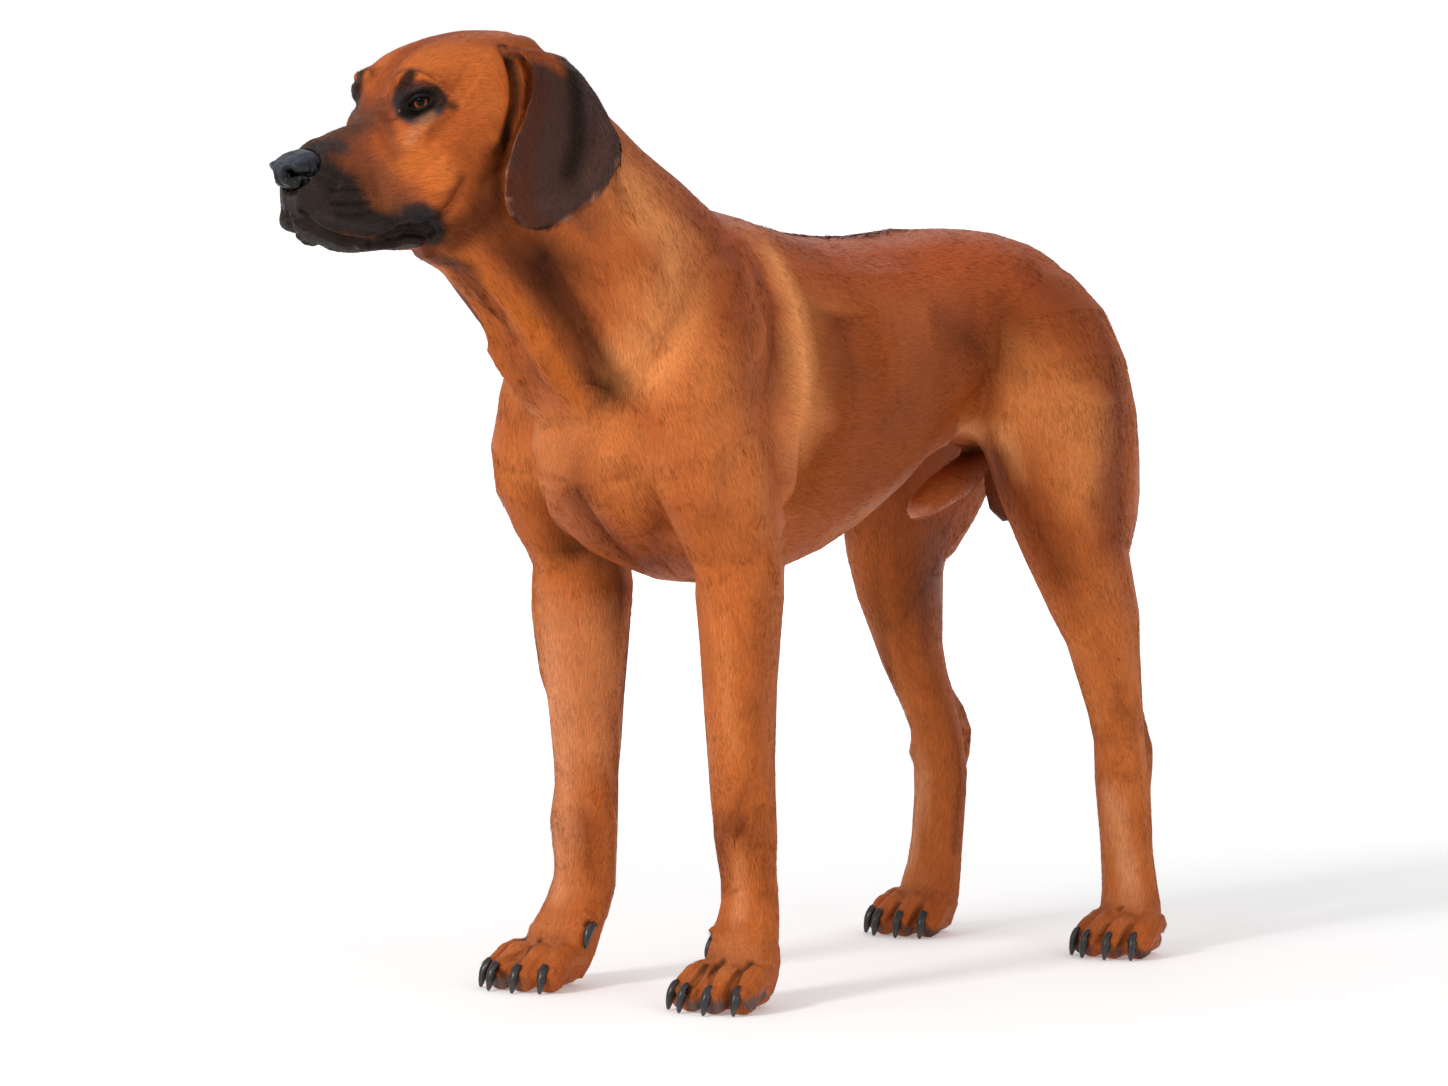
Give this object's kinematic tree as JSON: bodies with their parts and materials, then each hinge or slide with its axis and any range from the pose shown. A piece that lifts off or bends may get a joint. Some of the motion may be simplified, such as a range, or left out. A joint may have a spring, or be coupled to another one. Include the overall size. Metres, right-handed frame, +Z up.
{
  "type": "standing dog, Rhodesian Ridgeback",
  "caption": "Life-size still model of a standing adult short-haired dog with hanging ears, head turned slightly, on its four paws.",
  "frame": {"origin": "on the floor under the middle of the dog's bounding box", "axes": "+X to the dog's left, -Y the way the dog faces, +Z up"},
  "size_m": [0.3402, 1.0232, 0.8465],
  "materials": {
    "coat": "short glossy hair",
    "mask": "short dark hair and bare lips",
    "ear_coat": "very short dark hair",
    "nose": "moist pebbled skin",
    "eye": "wet and clear",
    "claw": "horn, semi-gloss",
    "bare_skin": "thinly haired skin"
  },
  "bodies": {
    "root": {"dewclaw_left": "claw", "dewclaw_right": "claw", "ear_left": "ear_coat", "ear_right": "ear_coat", "eye_left": "eye", "eye_right": "eye", "fore_claw_1_left": "claw", "fore_claw_1_right": "claw", "fore_claw_2_left": "claw", "fore_claw_2_right": "claw", "fore_claw_3_left": "claw", "fore_claw_3_right": "claw", "fore_claw_4_left": "claw", "fore_claw_4_right": "claw", "fore_pastern_left": "coat", "fore_pastern_right": "coat", "forearm_left": "coat", "forearm_right": "coat", "forepaw_left": "coat", "forepaw_right": "coat", "head": "coat", "hind_claw_1_left": "claw", "hind_claw_1_right": "claw", "hind_claw_2_left": "claw", "hind_claw_2_right": "claw", "hind_claw_3_left": "claw", "hind_claw_3_right": "claw", "hind_claw_4_left": "claw", "hind_claw_4_right": "claw", "hind_pastern_left": "coat", "hind_pastern_right": "coat", "hind_paw_left": "coat", "hind_paw_right": "coat", "lower_jaw": "mask", "neck": "coat", "nose": "nose", "scrotum": "bare_skin", "shank_left": "coat", "shank_right": "coat", "sheath": "bare_skin", "tail": "coat", "thigh_left": "coat", "thigh_right": "coat", "torso": "coat", "upper_arm_left": "coat", "upper_arm_right": "coat"}
  },
  "joints": []
}
